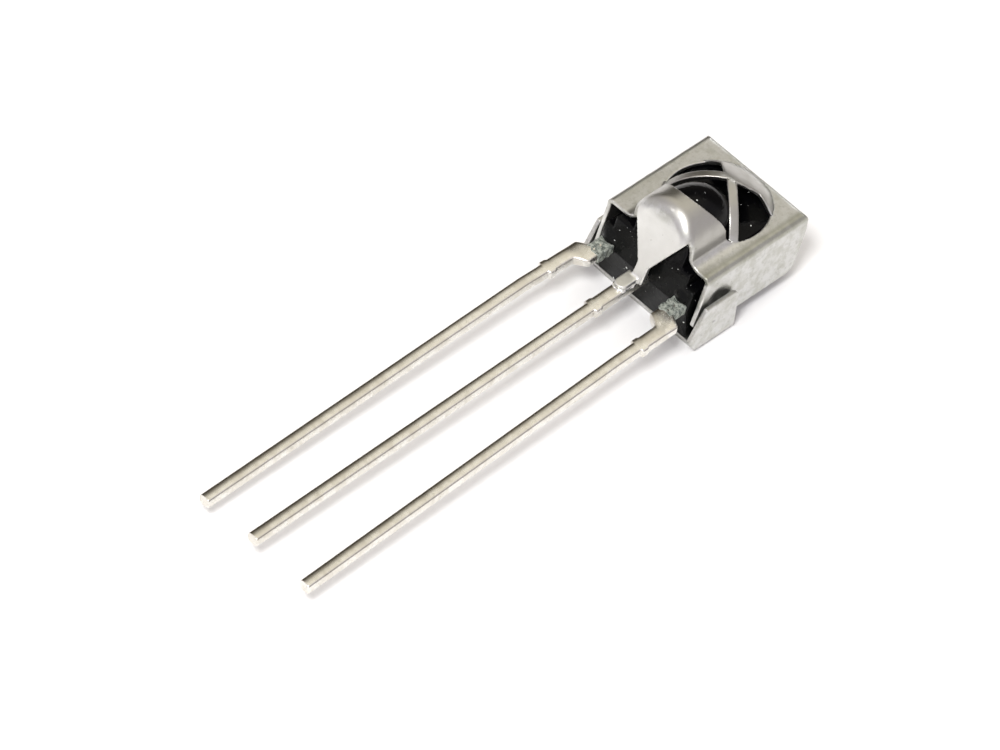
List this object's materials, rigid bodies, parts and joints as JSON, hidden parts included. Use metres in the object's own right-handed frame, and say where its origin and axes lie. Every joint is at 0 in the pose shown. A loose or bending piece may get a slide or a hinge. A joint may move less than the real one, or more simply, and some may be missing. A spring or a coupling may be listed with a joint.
{
  "type": "infrared receiver module",
  "caption": "Infrared receiver: black epoxy body with a domed lens in a folded tin-plated shield with an arched band, a ribbed window and a grounding tongue, on straight flat leads.",
  "frame": {"origin": "on the back plate's resting face, on the centre line, half-way along the front plate", "axes": "+Z out of the front plate, the way the lens looks; -Y along the leads; +X towards the supply lead"},
  "size_m": [0.006, 0.0253, 0.0054],
  "materials": {
    "tin_plate": "satin tin plate",
    "black_epoxy": "semi-gloss moulded epoxy that passes infrared light",
    "tinned_lead": "satin tin plate",
    "solder": "bright wavy solder",
    "silicon": "polished silicon",
    "die_adhesive": "matt silver-filled adhesive",
    "gold_wire": "bright gold"
  },
  "bodies": {
    "root": {"shield": "tin_plate", "body": "black_epoxy", "signal_lead": "tinned_lead", "ground_lead": "tinned_lead", "supply_lead": "tinned_lead", "ground_solder": "solder", "photodiode": "silicon", "receiver_chip": "silicon", "photodiode_adhesive": "die_adhesive", "chip_adhesive": "die_adhesive", "photodiode_wire": "gold_wire", "signal_wire": "gold_wire", "supply_wire": "gold_wire", "ground_wire": "gold_wire"}
  },
  "joints": []
}
